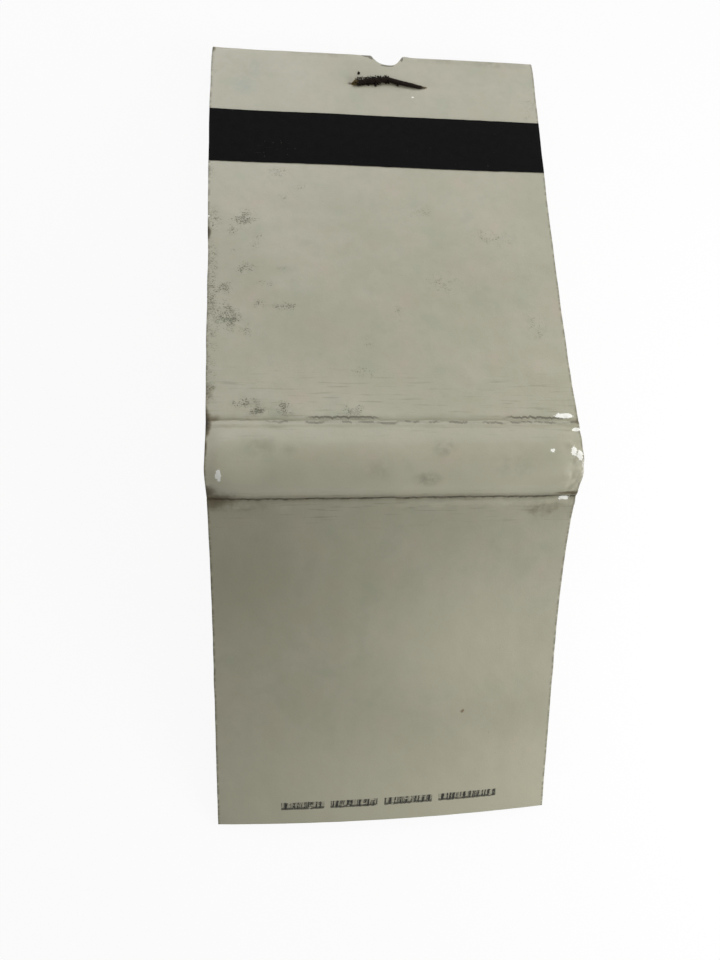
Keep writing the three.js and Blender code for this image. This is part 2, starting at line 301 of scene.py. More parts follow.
# Worn places and patches of painted light and shade on the cover, each (across, along, reach across,
# reach along, strength). Along is the distance from the rear crease, negative on the spine and front
WEAR_AND_PAINTED_LIGHT = {
    "scuffs": (
        (-11.6, 29.4, 2.0, 0.9, 0.8), (-10.8, 26.2, 1.1, 0.8, 0.6), (-8.9, 27.6, 1.2, 1.0, 0.3),
        (-15.2, 23.4, 2.1, 1.7, 1.0), (-16.3, 22.0, 1.0, 1.2, 0.7), (-18.4, 23.2, 1.3, 2.2, 0.75),
        (-14.2, 20.4, 0.9, 1.2, 0.6), (-13.6, 21.2, 1.0, 0.6, 0.5), (-16.4, 19.6, 0.8, 0.5, 0.45),
        (-15.1, 17.4, 1.8, 1.1, 0.8), (-11.4, 17.6, 0.9, 0.6, 0.4), (-17.2, 15.0, 1.7, 1.2, 0.85),
        (-12.9, 15.6, 1.7, 0.6, 0.55), (-17.0, 11.6, 2.3, 2.8, 1.0), (-13.7, 13.3, 0.9, 0.9, 0.75),
        (-11.0, 13.0, 2.3, 0.7, 0.85), (-15.0, 10.2, 1.5, 1.2, 0.6), (-18.7, 13.6, 1.4, 12.0, 0.65),
        (-18.9, 5.0, 1.3, 6.0, 0.6), (-18.9, 29.0, 0.8, 3.0, 0.5), (-15.1, 1.9, 2.0, 0.9, 1.0),
        (-13.9, 1.0, 1.9, 0.8, 1.0), (-11.2, 1.3, 1.3, 1.5, 0.85), (-4.3, 1.1, 2.0, 1.1, 0.75),
        (0.8, 12.4, 0.7, 2.3, 0.5), (-3.0, 5.5, 2.6, 1.2, 0.4), (-2.4, 8.9, 0.8, 1.2, 0.45),
        (12.0, 22.0, 4.5, 1.8, 0.35), (4.0, 25.0, 3.0, 1.5, 0.3), (16.0, 11.0, 1.8, 3.0, 0.35),
        (6.0, 16.0, 4.0, 2.5, 0.3), (17.9, 40.0, 1.6, 4.0, 0.3), (-18.9, 44.0, 1.0, 3.0, 0.4),
    ),
    "smudges": (
        (-13.6, -2.7, 2.6, 1.7, 0.6), (-11.2, -3.3, 1.8, 0.9, 0.5), (4.6, -3.1, 1.6, 1.3, 0.9),
        (3.0, -6.2, 2.1, 1.2, 1.0), (-2.0, -5.2, 2.0, 1.5, 0.4), (12.0, -5.0, 3.6, 1.8, 0.3),
        (14.3, 46.2, 5.0, 0.9, 0.8), (-6.0, 46.4, 5.0, 0.7, 0.6), (8.0, 46.3, 4.0, 0.7, 0.6),
        (-15.0, 43.6, 6.0, 2.6, 0.2), (-14.8, -9.6, 4.0, 1.6, 0.5), (-13.0, 1.0, 4.5, 1.6, 0.5),
        (-14.6, 1.7, 1.5, 0.6, 1.3), (-13.7, 1.0, 0.9, 0.5, 1.3), (-11.1, 0.7, 1.0, 0.5, 1.2),
    ),
    "blue": ((-15.2, 41.2, 2.3, 2.0, 0.9), (-14.0, 43.6, 1.1, 2.3, 0.6)),
    # Brown: dirt at the crease ends and sides, plus painted shade where the spine's left end turns away
    "brown": (
        (-19.3, -0.3, 1.3, 2.6, 1.7), (-19.2, 0.2, 3.0, 0.8, 0.7), (-19.35, -3.0, 0.9, 2.4, 1.4),
        (-19.4, -5.6, 0.8, 2.2, 1.1), (-19.2, -8.0, 2.3, 2.0, 0.9), (-18.4, -8.9, 5.2, 2.2, 0.65),
        (-18.9, 3.0, 1.6, 3.0, 0.4), (19.2, -0.1, 1.7, 0.6, 0.8), (19.35, -3.9, 0.5, 5.2, 0.75),
        (19.1, -4.1, 0.4, 0.6, 1.0), (18.2, -8.35, 2.6, 0.5, 0.85), (15.5, -10.4, 4.0, 1.6, 0.45),
        (-19.1, 46.3, 1.0, 1.0, 0.8), (19.2, 46.5, 1.0, 0.8, 0.6), (-19.25, 21.6, 0.85, 1.3, 1.9),
        (-19.2, 30.5, 0.4, 1.0, 0.6), (19.2, 38.2, 0.4, 0.6, 0.8), (-19.2, -47.5, 0.9, 0.9, 0.4),
    ),
    # Pale: painted highlights, white glints on the crumpled spine ends and a few other spots
    "pale": (
        (17.5, 0.55, 1.7, 0.5, 1.0), (18.6, -0.95, 0.8, 0.36, 1.0), (18.0, -3.5, 0.5, 0.9, 0.85),
        (18.6, -3.9, 0.5, 0.8, 1.0), (15.75, -3.4, 0.3, 0.4, 0.9), (17.7, -9.1, 1.2, 0.45, 0.62),
        (4.2, 40.75, 0.35, 0.4, 0.5), (-17.65, -5.7, 0.42, 0.95, 1.2), (-19.0, 23.6, 0.5, 0.4, 0.6),
    ),
    "rust": ((-1.3, 42.5, 2.6, 0.9, 0.8), (2.5, 42.6, 4.4, 0.6, 0.5), (-3.0, 42.3, 1.0, 0.5, 0.8)),
    "torn": (
        (-0.95, 46.7, 1.1, 0.65, 1.6), (-0.35, 46.35, 0.6, 0.6, 1.6), (3.1, 46.35, 0.32, 0.75, 1.6),
        (1.4, 45.15, 1.4, 0.22, 1.1),
    ),
    # Painted light: spine's lower half, front's far end and middle right, painted sheen on the spine's left end
    "painted_light": (
        (0.0, -6.6, 90.0, 2.8, 0.9), (-8.0, -6.4, 14.0, 2.6, 1.0), (0.0, -47.5, 90.0, 17.0, 1.0),
        (-14.0, -47.0, 16.0, 12.0, 1.0), (8.0, -27.0, 15.0, 13.0, 0.7), (-16.5, -6.1, 8.0, 2.6, 1.33),
    ),
    # Painted shade: the spine's upper half and crease ends, and a painted shadow over the front's left part
    "darker": (
        (0.0, -1.9, 90.0, 2.6, 0.7), (-19.0, -0.5, 7.0, 5.0, 0.7), (-18.0, -12.8, 13.0, 8.0, 0.9),
        (-17.0, -18.0, 17.0, 13.0, 1.5), (17.6, -9.3, 6.0, 4.6, 1.3),
    ),
    "spots": (
        (8.6, -SPINE_ARC - 26.0, 0.42, 0.24, 1.0), (9.2, -SPINE_ARC - 26.1, 0.3, 0.18, 0.9),
        (10.9, -SPINE_ARC - 26.1, 0.2, 0.16, 0.6), (11.8, -SPINE_ARC - 28.9, 0.18, 0.2, 0.6),
        (6.4, -SPINE_ARC - 34.2, 0.3, 0.2, 0.5), (-7.2, -SPINE_ARC - 38.1, 0.35, 0.25, 0.7),
        (-0.5, -SPINE_ARC - 37.7, 0.6, 0.3, 0.4),
    ),
}


def patch_mask(x, along, patches):
    """Soft round patches of wear, stains and painted light and shade, full at the middle and gone at the reach."""
    mask = np.zeros(x.shape)
    for across, middle, reach_across, reach_along, strength in patches:
        distance = np.hypot((x - across) / reach_across, (along - middle) / reach_along)
        share = np.clip(1 - distance, 0, 1)
        mask = np.maximum(mask, strength * share**2 * (3 - 2 * share))
    return mask


def select_only(piece):
    bpy.ops.object.select_all(action="DESELECT")
    piece.select_set(True)
    bpy.context.view_layer.objects.active = piece


def apply_modifier(piece, kind, **settings):
    select_only(piece)
    modifier = piece.modifiers.new(kind.title(), kind)
    for name, value in settings.items():
        setattr(modifier, name, value)
    bpy.ops.object.modifier_apply(modifier=modifier.name)


def smooth(piece, angle_deg=40):
    select_only(piece)
    bpy.ops.object.shade_smooth_by_angle(angle=math.radians(angle_deg))


def flat_grid(name, columns, rows):
    """A grid of the flat sheet, folded into place, with its sheet distances kept as a UV map."""
    bpy.ops.object.select_all(action="DESELECT")
    bpy.ops.mesh.primitive_grid_add(x_subdivisions=len(columns) - 1, y_subdivisions=len(rows) - 1)
    piece = bpy.context.active_object
    piece.name = piece.data.name = name
    x, along = np.meshgrid(columns, np.sort(rows))
    corner_points = np.zeros(len(piece.data.loops), np.int32)
    piece.data.loops.foreach_get("vertex_index", corner_points)
    piece.data.uv_layers[0].name = "sheet"
    flat = np.stack([x.ravel(), along.ravel()], 1)
    piece.data.uv_layers["sheet"].data.foreach_set("uv", flat[corner_points].astype(np.float32).ravel())
    along_attribute = piece.data.attributes.new("along", "FLOAT", "POINT")
    along_attribute.data.foreach_set("value", along.ravel().astype(np.float32))
    return piece, x, along


def place_points(piece, places):
    piece.data.vertices.foreach_set("co", places.astype(np.float32).ravel())
    piece.data.update()


def round_rim(piece, seam):
    """Rounds the sheet's rim, apart from the seam where it meets its other half."""
    rim = bmesh.new()
    rim.from_mesh(piece.data)
    along = rim.verts.layers.float["along"]
    edge_layers = rim.edges.layers.float
    weight = edge_layers.get("bevel_weight_edge") or edge_layers.new("bevel_weight_edge")
    for edge in rim.edges:
        sharp = len(edge.link_faces) == 2 and edge.calc_face_angle() > math.radians(60)
        on_seam = all(abs(vert[along] - seam) < STEP for vert in edge.verts)
        edge[weight] = 1.0 if sharp and not on_seam else 0.0
    rim.to_mesh(piece.data)
    rim.free()
    apply_modifier(piece, "BEVEL", width=CARD_EDGE_ROUND * MM, segments=2, limit_method="WEIGHT")


def card_sheet(name, rows, outside):
    """Part of the cover as a folded sheet without thickness, with its wear and painted light kept at its points.
    """
    piece, x, along = flat_grid(name, COLUMNS, rows)
    place_points(piece, sheet_places(x, along))
    for mask_name, patches in WEAR_AND_PAINTED_LIGHT.items():
        mask = piece.data.attributes.new(mask_name, "FLOAT", "POINT")
        mask.data.foreach_set("value", patch_mask(x, along, patches).ravel().astype(np.float32))
    for finish in (outside, bare_card, cut_card):
        piece.data.materials.append(finish)
    return piece


def thicken(piece, seam):
    """Gives the sheet the card's thickness and a worn rim."""
    apply_modifier(
        piece, "SOLIDIFY", thickness=CARD * MM, offset=0.0, use_even_offset=True,
        material_offset=1, material_offset_rim=2,
    )
    round_rim(piece, seam)


# Shader maths


class Socket:
    """An output of a shader node. Python maths on it adds the nodes that do the same."""

    def __init__(self, tree, socket):
        self.tree = tree
        self.socket = socket

    def node(self, kind, settings, inputs, output=0):
        made = self.tree.nodes.new(kind)
        for name, value in settings.items():
            setattr(made, name, value)
        for name, value in inputs.items():
            if isinstance(value, Socket):
                self.tree.links.new(value.socket, made.inputs[name])
            else:
                made.inputs[name].default_value = value
        return Socket(self.tree, made.outputs[output])

    def math(self, operation, *others):
        return self.node("ShaderNodeMath", {"operation": operation}, dict(enumerate((self, *others))))

    def __add__(self, other):
        return self.math("ADD", other)

    def __sub__(self, other):
        return self.math("SUBTRACT", other)

    def __rsub__(self, other):
        return self.math("MULTIPLY_ADD", -1.0, other)

    def __mul__(self, other):
        return self.math("MULTIPLY", other)

    def __abs__(self):
        return self.math("ABSOLUTE")

    __radd__ = __add__
    __rmul__ = __mul__


def step_up(value, low, high):
    """0 below low, 1 above high and smooth between them."""
    inputs = {"Value": value, "From Min": low, "From Max": high}
    return value.node("ShaderNodeMapRange", {"interpolation_type": "SMOOTHSTEP"}, inputs)


def band(value, centre, half, soft):
    """1 within half of the centre, falling to 0 over soft."""
    return 1 - step_up(abs(value - centre), half, half + soft)


def stretched(place, across, along):
    inputs = {0: place, 1: (across, along, along)}
    return place.node("ShaderNodeVectorMath", {"operation": "MULTIPLY"}, inputs)


def moved(place, across, along):
    inputs = {0: place, 1: (across, along, 0.0)}
    return place.node("ShaderNodeVectorMath", {"operation": "ADD"}, inputs)


def cloud(place, scale, detail=2.0, rough=0.5):
    inputs = {"Vector": place, "Scale": scale, "Detail": detail, "Roughness": rough}
    return place.node("ShaderNodeTexNoise", {}, inputs)


def line_noise(value, scale):
    """Noise that changes along one direction only."""
    inputs = {"W": value, "Scale": scale, "Detail": 2.0, "Roughness": 0.6}
    return value.node("ShaderNodeTexNoise", {"noise_dimensions": "1D"}, inputs)


def attribute(place, name):
    """A mask that the piece's mesh holds at its points."""
    return place.node("ShaderNodeAttribute", {"attribute_name": name}, {}, "Fac")


def strongest(masks):
    """The strongest of several masks at each place."""
    result = masks[0]
    for mask in masks[1:]:
        result = result.math("MAXIMUM", mask)
    return result


def tint(factor, under, over):
    """The colour under, covered by the colour over as far as the factor says."""
    inputs = {0: factor, 6: under, 7: over}
    return factor.node("ShaderNodeMix", {"data_type": "RGBA"}, inputs, 2)


def linear(red, green, blue):
    """A colour picked as 0 to 255 values, as shader nodes take it."""
    shares = (channel / 255 for channel in (red, green, blue))
    values = [c / 12.92 if c <= 0.04045 else ((c + 0.055) / 1.055) ** 2.4 for c in shares]
    return (*values, 1.0)


def new_finish(name, uv_map=None):
    """An empty material: its shader node, and the coordinates in millimetres that patterns follow."""
    finish = bpy.data.materials.new(name)
    finish.use_nodes = True
    tree = finish.node_tree
    shader = tree.nodes["Principled BSDF"]
    if uv_map:
        source = tree.nodes.new("ShaderNodeUVMap")
        source.uv_map = uv_map
        place = Socket(tree, source.outputs[0])
    else:
        source = tree.nodes.new("ShaderNodeTexCoord")
        metres = Socket(tree, source.outputs["Object"])
        inputs = {0: metres, 1: (1 / MM,) * 3}
        place = metres.node("ShaderNodeVectorMath", {"operation": "MULTIPLY"}, inputs)
    return finish, shader, place


def wire_up(shader, place, colour, roughness, height, depth):
    """Feeds a material: colour, roughness, and height as a bump of that depth in millimetres."""
    tree = place.tree
    tree.links.new(colour.socket, shader.inputs["Base Color"])
    if isinstance(roughness, Socket):
        tree.links.new(roughness.socket, shader.inputs["Roughness"])
    else:
        shader.inputs["Roughness"].default_value = roughness
    bump = place.node("ShaderNodeBump", {}, {"Height": height, "Distance": depth * MM, "Strength": 1.0})
    tree.links.new(bump.socket, shader.inputs["Normal"])


def parts_of(place):
    """How far across and how far along a place is."""
    return tuple(
        place.node("ShaderNodeSeparateXYZ", {}, {0: place}, axis) for axis in ("X", "Y")
    )


# The printed line near the free edge: plain bars, each (left end, right end)
PRINT_BARS = ((-11.9, -6.95), (-6.3, -0.85), (-0.1, 5.5), (6.2, 13.1))
PRINT_LINE = 36.33
PRINT_HEIGHT = 0.88


def printed_bars(sheet):
    """Ink of the bars: upright ticks over a smeared foot, worn away in patches."""
    x = sheet.x
    ragged = (cloud(sheet.place, 2.8, 2.0, 0.7) - 0.5) * 0.5
    line = sheet.past_front + x * 0.012
    foot_line = PRINT_LINE + PRINT_HEIGHT
    top = step_up(line + ragged * 0.3, PRINT_LINE, PRINT_LINE + 0.1)
    foot = 1 - step_up(line + ragged * 0.3, foot_line, foot_line + 0.1)
    ragged_x = x + ragged * 0.2
    bars = strongest([
        band(ragged_x, (left + right) / 2, (right - left) / 2 - 0.08, 0.1) for left, right in PRINT_BARS
    ])
    ticks = step_up(line_noise(x + ragged * 0.5 + line * 0.12, 3.1), 0.43, 0.55)
    smear = band(line + ragged * 0.5, foot_line - 0.05, 0.1, 0.1)
    ink = strongest([top * foot * (0.25 + 0.75 * ticks), smear * 0.85]) * bars
    return ink * step_up(sheet.rub + (sheet.mottle - 0.5) * 0.4, 0.3, 0.46)


def sheet_patterns(place):
    """What marks on the coated card follow: distances over the sheet, and noise of several sizes."""
    x, along = parts_of(place)
    return SimpleNamespace(
        place=place,
        x=x,
        along=along,
        past_front=0 - along - SPINE_ARC,
        mottle=cloud(place, 0.9, 3.0, 0.65),
        grain=cloud(stretched(place, 1.0, 1.6), 5.5, 2.0, 0.65),
        rub=cloud(stretched(place, 1.7, 2.6), 1.0, 3.0, 0.75),
        wander=line_noise(x, 0.33) - 0.5,
        wander_fine=line_noise(x, 1.9) - 0.5,
        broken=step_up(line_noise(x + 71.0, 0.55), 0.4, 0.56),
    )


def board_with_painted_light_and_shade(sheet):
    """The coating's pale buff in soft clouds, with painted light and painted shade over patches of the cover."""
    place, mottle, grain = sheet.place, sheet.mottle, sheet.grain
    broad = cloud(place, 0.13, 2.0, 0.55)
    hue = cloud(moved(place, 40.0, 9.0), 0.28, 2.0, 0.6)
    colour = tint(step_up(broad, 0.35, 0.65), linear(173, 171, 149), linear(179, 175, 155))
    colour = tint(step_up(mottle, 0.35, 0.75) * 0.4, colour, linear(167, 165, 142))
    colour = tint(step_up(hue, 0.52, 0.72) * 0.4, colour, linear(182, 171, 152))
    colour = tint(step_up(hue, 0.46, 0.3) * 0.35, colour, linear(164, 168, 147))
    # Painted light brightens, and painted shade and shadow darken, the patches listed for them
    colour = tint(attribute(place, "painted_light") * 0.75, colour, linear(198, 195, 171))
    colour = tint(attribute(place, "darker") * 0.5, colour, linear(158, 155, 132))
    colour = tint(step_up(grain, 0.58, 0.78) * 0.28, colour, linear(140, 139, 118))
    return tint(step_up(grain, 0.42, 0.22) * 0.2, colour, linear(196, 193, 174))


def scuffed(sheet, colour):
    """Grey smudges and clusters of dark specks. Also gives how worn they leave the coating."""
    mottle = sheet.mottle
    scuffs, smudges = attribute(sheet.place, "scuffs"), attribute(sheet.place, "smudges")
    stray = step_up(sheet.rub, 0.66, 0.74)
    colour = tint(stray * step_up(mottle, 0.45, 0.6) * 0.3, colour, linear(118, 117, 97))
    colour = tint(smudges * step_up(mottle, 0.25, 0.65) * 0.55, colour, linear(112, 112, 93))
    speckle = sheet.grain * 0.65 + sheet.rub * 0.35 + scuffs * 0.16 + (mottle - 0.5) * 0.3
    specks = step_up(speckle, 0.6, 0.7) * step_up(scuffs, 0.02, 0.25)
    colour = tint(scuffs * step_up(mottle, 0.4, 0.7) * 0.28, colour, linear(128, 131, 112))
    colour = tint(specks * 0.74, colour, linear(82, 84, 66))
    return colour, strongest([specks, smudges * 0.4])


def front_creased(sheet, colour):
    """Hairlines by the creases; the front crack, with painted shade and a painted highlight on the crest past it.
    Gives the crack.
    """
    past_front = sheet.past_front
    hairlines = step_up(cloud(stretched(sheet.place, 0.22, 3.2), 1.0, 2.0, 0.6), 0.56, 0.7)
    near_creases = strongest([band(sheet.along, 1.8, 1.6, 3.5), band(past_front, 1.2, 0.8, 2.5)])
    colour = tint(hairlines * near_creases * 0.3, colour, linear(104, 102, 80))
    off_crack = past_front - FRONT_CRACK - sheet.wander * 0.4 - sheet.wander_fine * 0.14
    crack = band(off_crack, 0.0, 0.07, 0.13)
    # Painted shade in a band along the front crease
    colour = tint(band(off_crack, -0.1, 0.12, 0.55) * 0.45, colour, linear(112, 106, 80))
    colour = tint(crack * (0.36 + 0.32 * sheet.broken), colour, linear(56, 50, 32))
    # Painted highlight along the low crest past the front crease, on its right half
    ridge_highlight = band(past_front - sheet.wander * 1.2, 0.95, 0.1, 0.3) * step_up(sheet.x, -4.0, 6.0)
    return tint(ridge_highlight * 0.35, colour, linear(196, 192, 170)), crack


def rear_creased(sheet, colour):
    """The rear crease's broken lines, faint at the left, over painted shade. Also gives the cracks."""
    x, along, wander, wander_fine = sheet.x, sheet.along, sheet.wander, sheet.wander_fine
    past_left = step_up(x, -14.0, -11.5)
    line = band(along - wander * 0.8 - wander_fine * 0.25 + past_left * 0.25, 0.0, 0.03, 0.15)
    line = line * (0.3 + 0.7 * past_left)
    second_line = band(along - wander * 0.5 + wander_fine * 0.35, 0.33, 0.04, 0.14)
    second_span = strongest([band(x, -5.4, 2.8, 1.2), band(x, 14.5, 2.0, 2.0)])
    shade = band(along - wander * 0.6, 0.1, 0.1, 0.7)
    cracks = strongest([line * (0.16 + 0.6 * sheet.broken), second_line * second_span * 0.9])
    # Painted shade in a band along the rear crease
    colour = tint(shade * 0.26, colour, linear(122, 119, 95))
    return tint(cracks * 0.75, colour, linear(72, 69, 48)), cracks


def stained_back(sheet, colour):
    """A bluish stain, rust round the staple and torn fibres round the bite."""
    place, rub = sheet.place, sheet.rub
    blue, rust, torn = (attribute(place, name) for name in ("blue", "rust", "torn"))
    colour = tint(blue * step_up(rub, 0.3, 0.6) * 0.5, colour, linear(144, 157, 153))
    colour = tint(rust * 0.6, colour, linear(134, 114, 74))
    grit = step_up(rub * 0.7 + rust * 0.55, 0.56, 0.74) * step_up(rust, 0.08, 0.45)
    colour = tint(grit * 0.85, colour, linear(50, 33, 16))
    fibres = step_up(torn + (rub - 0.5) * 0.4, 0.3, 0.5)
    return tint(fibres * 0.85, colour, linear(84, 79, 60))


def dirt_and_shade_at_ends(sheet, colour):
    """Brown dirt at the crease ends and sides, and painted shade at the spine's left end. Also gives their broad
    tone.
    """
    # Dirt, with painted shade where the spine's left end turns away
    brown = attribute(sheet.place, "brown")
    tone = step_up((sheet.mottle - 0.5) * 0.7 + brown, 0.12, 0.75)
    colour = tint(tone * 0.75, colour, linear(92, 79, 52))
    core = step_up((sheet.rub - 0.5) * 0.6 + brown, 0.5, 1.35)
    colour = tint(core * 0.95, colour, linear(30, 25, 12))
    rim = 1 - step_up(HALF_WIDTH - abs(sheet.x), 0.03, 0.34)
    rim_dirt = rim * step_up(line_noise(sheet.along, 1.3), 0.32, 0.62)
    return tint(rim_dirt * 0.6, colour, linear(78, 74, 52)), tone


def painted_glints(sheet, colour):
    """White painted highlights: glints with ragged outlines where the pale marks are."""
    pale = attribute(sheet.place, "pale")
    ragged = pale + (sheet.rub - 0.5) * 1.3 + (sheet.grain - 0.5) * 0.5
    glints = step_up(ragged, 0.3, 0.45) * step_up(pale, 0.02, 0.1)
    return tint(glints * 0.97, colour, (1.0, 1.0, 0.93, 1.0))


def coated_card_finish(part):
    """Back or front outside: coated board, scuffed, cracked and stained, with painted light, shade and glints."""
    finish, shader, place = new_finish(f"coated_card_{part}", "sheet")
    sheet = sheet_patterns(place)
    colour, wear = scuffed(sheet, board_with_painted_light_and_shade(sheet))
    colour, cracks = front_creased(sheet, colour)
    if part == "back":
        colour, rear_cracks = rear_creased(sheet, colour)
        cracks = strongest([cracks, rear_cracks])
        colour = stained_back(sheet, colour)
    else:
        spots = step_up(attribute(place, "spots"), 0.2, 0.6)
        colour = tint(spots * 0.7, colour, linear(118, 84, 56))
        ink = printed_bars(sheet)
        colour = tint(ink * 0.94, colour, linear(22, 22, 21))
        wear = strongest([wear, ink])
    colour, end_tone = dirt_and_shade_at_ends(sheet, colour)
    # Painted highlights: white glints on the crumpled spine ends
    colour = painted_glints(sheet, colour)

    wear = strongest([wear, end_tone])
    height = sheet.grain * 0.5 + sheet.mottle * 0.8 - cracks * 3.0
    wire_up(shader, place, colour, 0.4 + sheet.mottle * 0.1 + wear * 0.3, height, 0.02)
    gloss = (0.26 - wear * 0.22).math("MAXIMUM", 0.0)
    place.tree.links.new(gloss.socket, shader.inputs["Coat Weight"])
    shader.inputs["Coat Roughness"].default_value = 0.16
    return finish


def bare_card_finish():
    """The uncoated inside of the cover: pale grey board with flecks."""
    finish, shader, place = new_finish("bare_card", "sheet")
    x, along = parts_of(place)
    fibre = cloud(stretched(place, 0.6, 2.2), 2.4, 4.0, 0.65)
    broad = cloud(place, 0.2, 3.0, 0.6)
    flecks = step_up(cloud(stretched(place, 1.5, 3.0), 2.0, 2.0, 0.6), 0.7, 0.76)
    colour = tint(step_up(broad, 0.3, 0.7), linear(186, 180, 162), linear(172, 166, 148))
    colour = tint(step_up(fibre, 0.35, 0.7) * 0.45, colour, linear(158, 150, 130))
    colour = tint(flecks * 0.55, colour, linear(112, 100, 80))
    crease = strongest([band(along, 0.0, 0.1, 0.4), band(0 - along - SPINE_ARC, 0.0, 0.1, 0.4)])
    colour = tint(crease * 0.4, colour, linear(120, 108, 84))
    rim = 1 - step_up(HALF_WIDTH - abs(x), 0.1, 1.2)
    colour = tint(rim * step_up(fibre, 0.3, 0.6) * 0.4, colour, linear(132, 120, 94))
    wire_up(shader, place, colour, 0.82 + fibre * 0.1, fibre + broad * 0.5, 0.03)
    return finish


def cut_card_finish(name="cut_card", dark=0.45):
    """Cut and torn edges: pressed fibre in layers, darkened by handling."""
    finish, shader, place = new_finish(name)
    layers = cloud(stretched(place, 0.5, 0.9), 3.5, 4.0, 0.7)
    dirt = cloud(place, 0.5, 3.0, 0.6)
    colour = tint(step_up(layers, 0.3, 0.7), linear(150, 143, 120), linear(112, 104, 82))
    colour = tint(step_up(dirt, 0.42, 0.62) * dark, colour, linear(58, 50, 34))
    wire_up(shader, place, colour, 0.9, layers, 0.05)
    return finish


def striker_finish():
    """Friction band: dark fine grit in a binder, with a few dull specks and faint rubs."""
    finish, shader, place = new_finish("friction_grit", "sheet")
    grit = cloud(place, 7.0, 3.0, 0.7)
    coarse = cloud(place, 1.2, 3.0, 0.6)
    colour = tint(step_up(coarse, 0.3, 0.7), linear(9, 9, 10), linear(13, 13, 14))
    colour = tint(step_up(grit, 0.58, 0.72) * 0.3, colour, linear(30, 30, 30))
    x, along = parts_of(place)
    left_rub = band(x, -11.5, 1.0, 3.5) * band(along, 32.6, 0.4, 2.0)
    specks = step_up(cloud(place, 3.2, 2.0, 0.6) + left_rub * 0.07, 0.73, 0.79)
    colour = tint(specks * 0.55, colour, linear(96, 94, 80))
    scratch = step_up(cloud(stretched(place, 0.35, 5.0), 1.0, 2.0, 0.6), 0.7, 0.76) * left_rub
    colour = tint(scratch * 0.5, colour, linear(78, 76, 66))
    wire_up(shader, place, colour, 0.78 + grit * 0.2, grit + coarse * 0.4, 0.03)
    shader.inputs["Specular IOR Level"].default_value = 0.12
    return finish


def rusted_wire_finish():
    """Wire rusted to a dark crust, paler where its ends go into the card."""
    finish, shader, place = new_finish("rusted_wire")
    x, _ = parts_of(place)
    flakes = cloud(place, 5.0, 4.0, 0.7)
    broad = cloud(place, 1.1, 3.0, 0.6)
    colour = tint(step_up(flakes, 0.35, 0.65), linear(19, 12, 7), linear(36, 24, 13))
    colour = tint(step_up(broad, 0.5, 0.7) * 0.6, colour, linear(14, 10, 8))
    left_end = 1 - step_up(x, STAPLE_LEFT[0], STAPLE_LEFT[0] + 0.9)
    right_end = step_up(x, STAPLE_RIGHT[0] - 0.8, STAPLE_RIGHT[0])
    colour = tint(left_end * step_up(flakes, 0.3, 0.6) * 0.95, colour, linear(136, 118, 74))
    colour = tint(right_end * step_up(flakes, 0.25, 0.55) * 0.9, colour, linear(132, 124, 98))
    wire_up(shader, place, colour, 0.8 + flakes * 0.18, flakes, 0.06)
    shader.inputs["Specular IOR Level"].default_value = 0.25
    return finish


def match_paper_finish():
    """Stems of pressed paper: warm grey faces with short fibres."""
    finish, shader, place = new_finish("match_paper")
    fibre = cloud(stretched(place, 2.6, 0.5), 1.6, 4.0, 0.65)
    broad = cloud(place, 0.25, 2.0, 0.5)
    colour = tint(step_up(broad, 0.3, 0.7), linear(206, 196, 170), linear(190, 178, 150))
    colour = tint(step_up(fibre, 0.4, 0.7) * 0.5, colour, linear(162, 148, 120))
    flecks = step_up(cloud(place, 3.0, 2.0, 0.6), 0.68, 0.74)
    colour = tint(flecks * 0.5, colour, linear(116, 100, 76))
    wire_up(shader, place, colour, 0.88, fibre, 0.05)
    return finish


def match_head_finish():
    """Dried match mix: dull red with paler grit and darker pores."""
    finish, shader, place = new_finish("match_head_mix")
    grit = cloud(place, 4.5, 4.0, 0.7)
    broad = cloud(place, 0.7, 3.0, 0.6)
    colour = tint(step_up(broad, 0.3, 0.7), linear(132, 48, 36), linear(108, 36, 28))
    colour = tint(step_up(grit, 0.55, 0.72) * 0.45, colour, linear(168, 88, 66))
    colour = tint(step_up(grit, 0.42, 0.3) * 0.5, colour, linear(74, 26, 22))
    wire_up(shader, place, colour, 0.72 + grit * 0.15, grit, 0.07)
    return finish


bare_card = bare_card_finish()
cut_card = cut_card_finish()
torn_card = cut_card_finish("torn_card", 0.8)
friction_grit = striker_finish()
rusted_wire = rusted_wire_finish()
match_paper = match_paper_finish()
match_head_mix = match_head_finish()


# Cover


def back_place(across, along, lift):
    """A place in metres on the back panel, lift above its middle line."""
    y = rear_crease.y + along * math.cos(back_slope) + lift * math.sin(back_slope)
    z = rear_crease.z - along * math.sin(back_slope) + lift * math.cos(back_slope)
    return Vector((across, y, z)) * MM


def prism(name, outline, low, high):
    """A closed prism whose outline lies on the back panel."""
    shape = bmesh.new()
    lower = [shape.verts.new(back_place(x, along, low)) for x, along in outline]
    upper = [shape.verts.new(back_place(x, along, high)) for x, along in outline]
    shape.faces.new(lower)
    shape.faces.new(reversed(upper))
    for i in range(len(outline)):
        j = (i + 1) % len(outline)
        shape.faces.new((lower[j], lower[i], upper[i], upper[j]))
    bmesh.ops.recalc_face_normals(shape, faces=shape.faces)
    mesh = bpy.data.meshes.new(name)
    shape.to_mesh(mesh)
    shape.free()
    piece = bpy.data.objects.new(name, mesh)
    bpy.context.scene.collection.objects.link(piece)
    piece.data.materials.append(torn_card)
    return piece


def cut_out(piece, cutter):
    """Cuts the cutter's shape out of the piece; the new faces keep the cutter's finish."""
    apply_modifier(
        piece, "BOOLEAN", object=cutter, operation="DIFFERENCE", solver="EXACT", material_mode="TRANSFER",
    )
    bpy.data.objects.remove(cutter)


